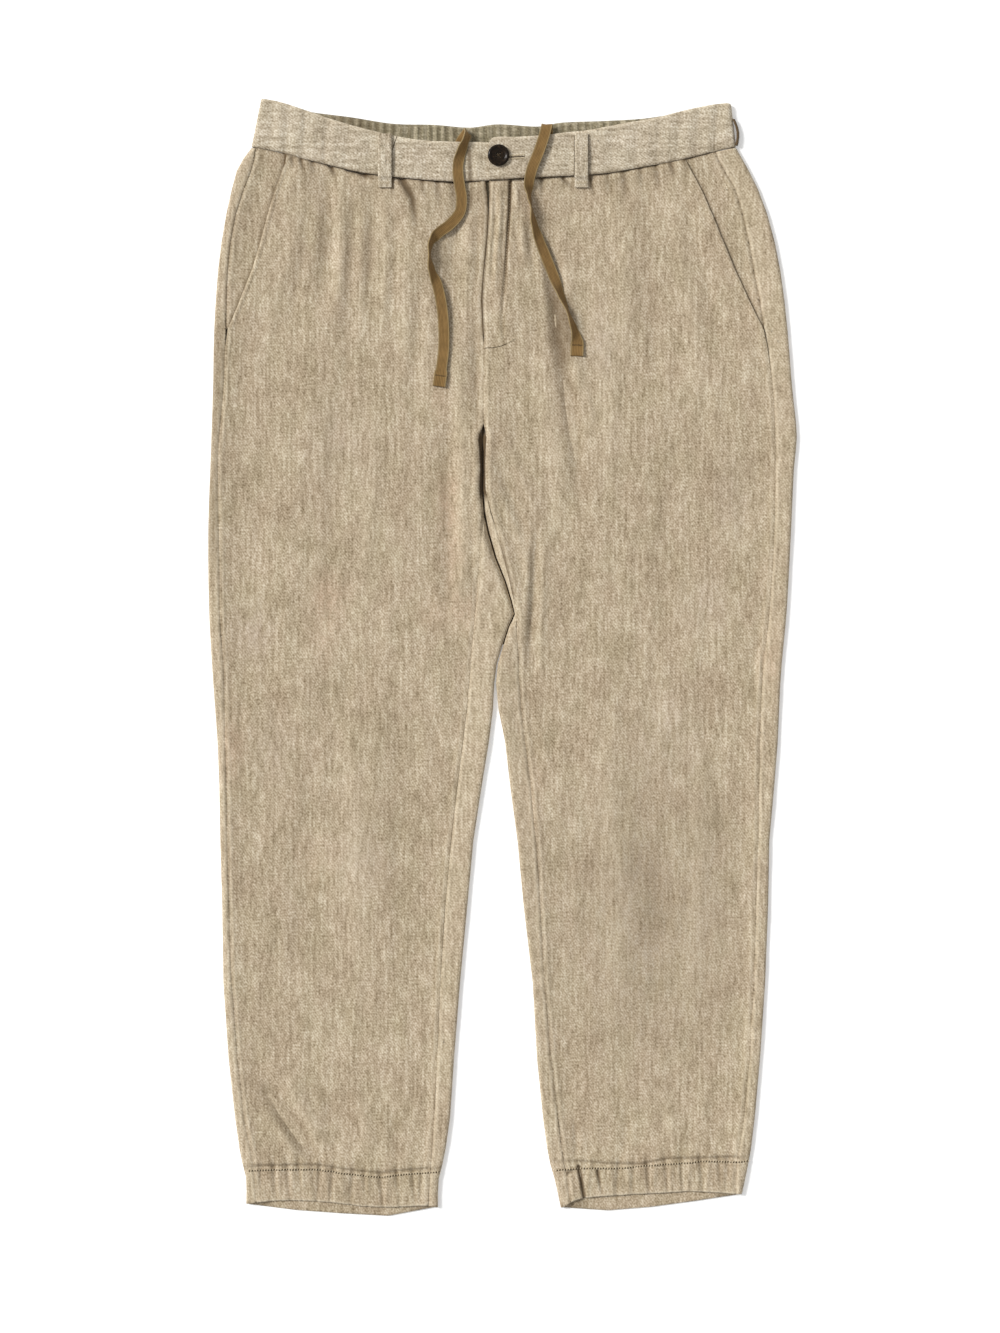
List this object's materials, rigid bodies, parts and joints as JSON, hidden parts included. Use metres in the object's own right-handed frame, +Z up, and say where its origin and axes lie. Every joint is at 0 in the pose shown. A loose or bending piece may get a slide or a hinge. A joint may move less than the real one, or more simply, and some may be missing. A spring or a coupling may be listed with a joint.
{
  "type": "linen drawstring trousers",
  "caption": "Tapered linen trousers laid flat: buttoned waistband with a gathered back, flat drawstring, slanted pockets, fly and turned-up hems.",
  "frame": {"origin": "centre of the garment's outline, on the surface that it lies on", "axes": "+Y runs from the hems to the waist, +Z up out of the front, +X to the wearer's left"},
  "size_m": [0.5418, 1.028, 0.0139],
  "materials": {
    "linen": "heathered linen twill, matt",
    "tape": "flat woven tape, soft",
    "horn_button": "polished dark horn"
  },
  "bodies": {
    "root": {"front_left": "linen", "front_right": "linen", "back_left": "linen", "back_right": "linen", "pocket_facing_left": "linen", "pocket_facing_right": "linen", "fly_shield": "linen", "waistband_left": "linen", "waistband_right": "linen", "waistband_back": "linen", "belt_loop_left": "linen", "belt_loop_right": "linen", "belt_loop_side": "linen", "button": "horn_button", "drawstring_left": "tape", "drawstring_right": "tape"}
  },
  "joints": []
}
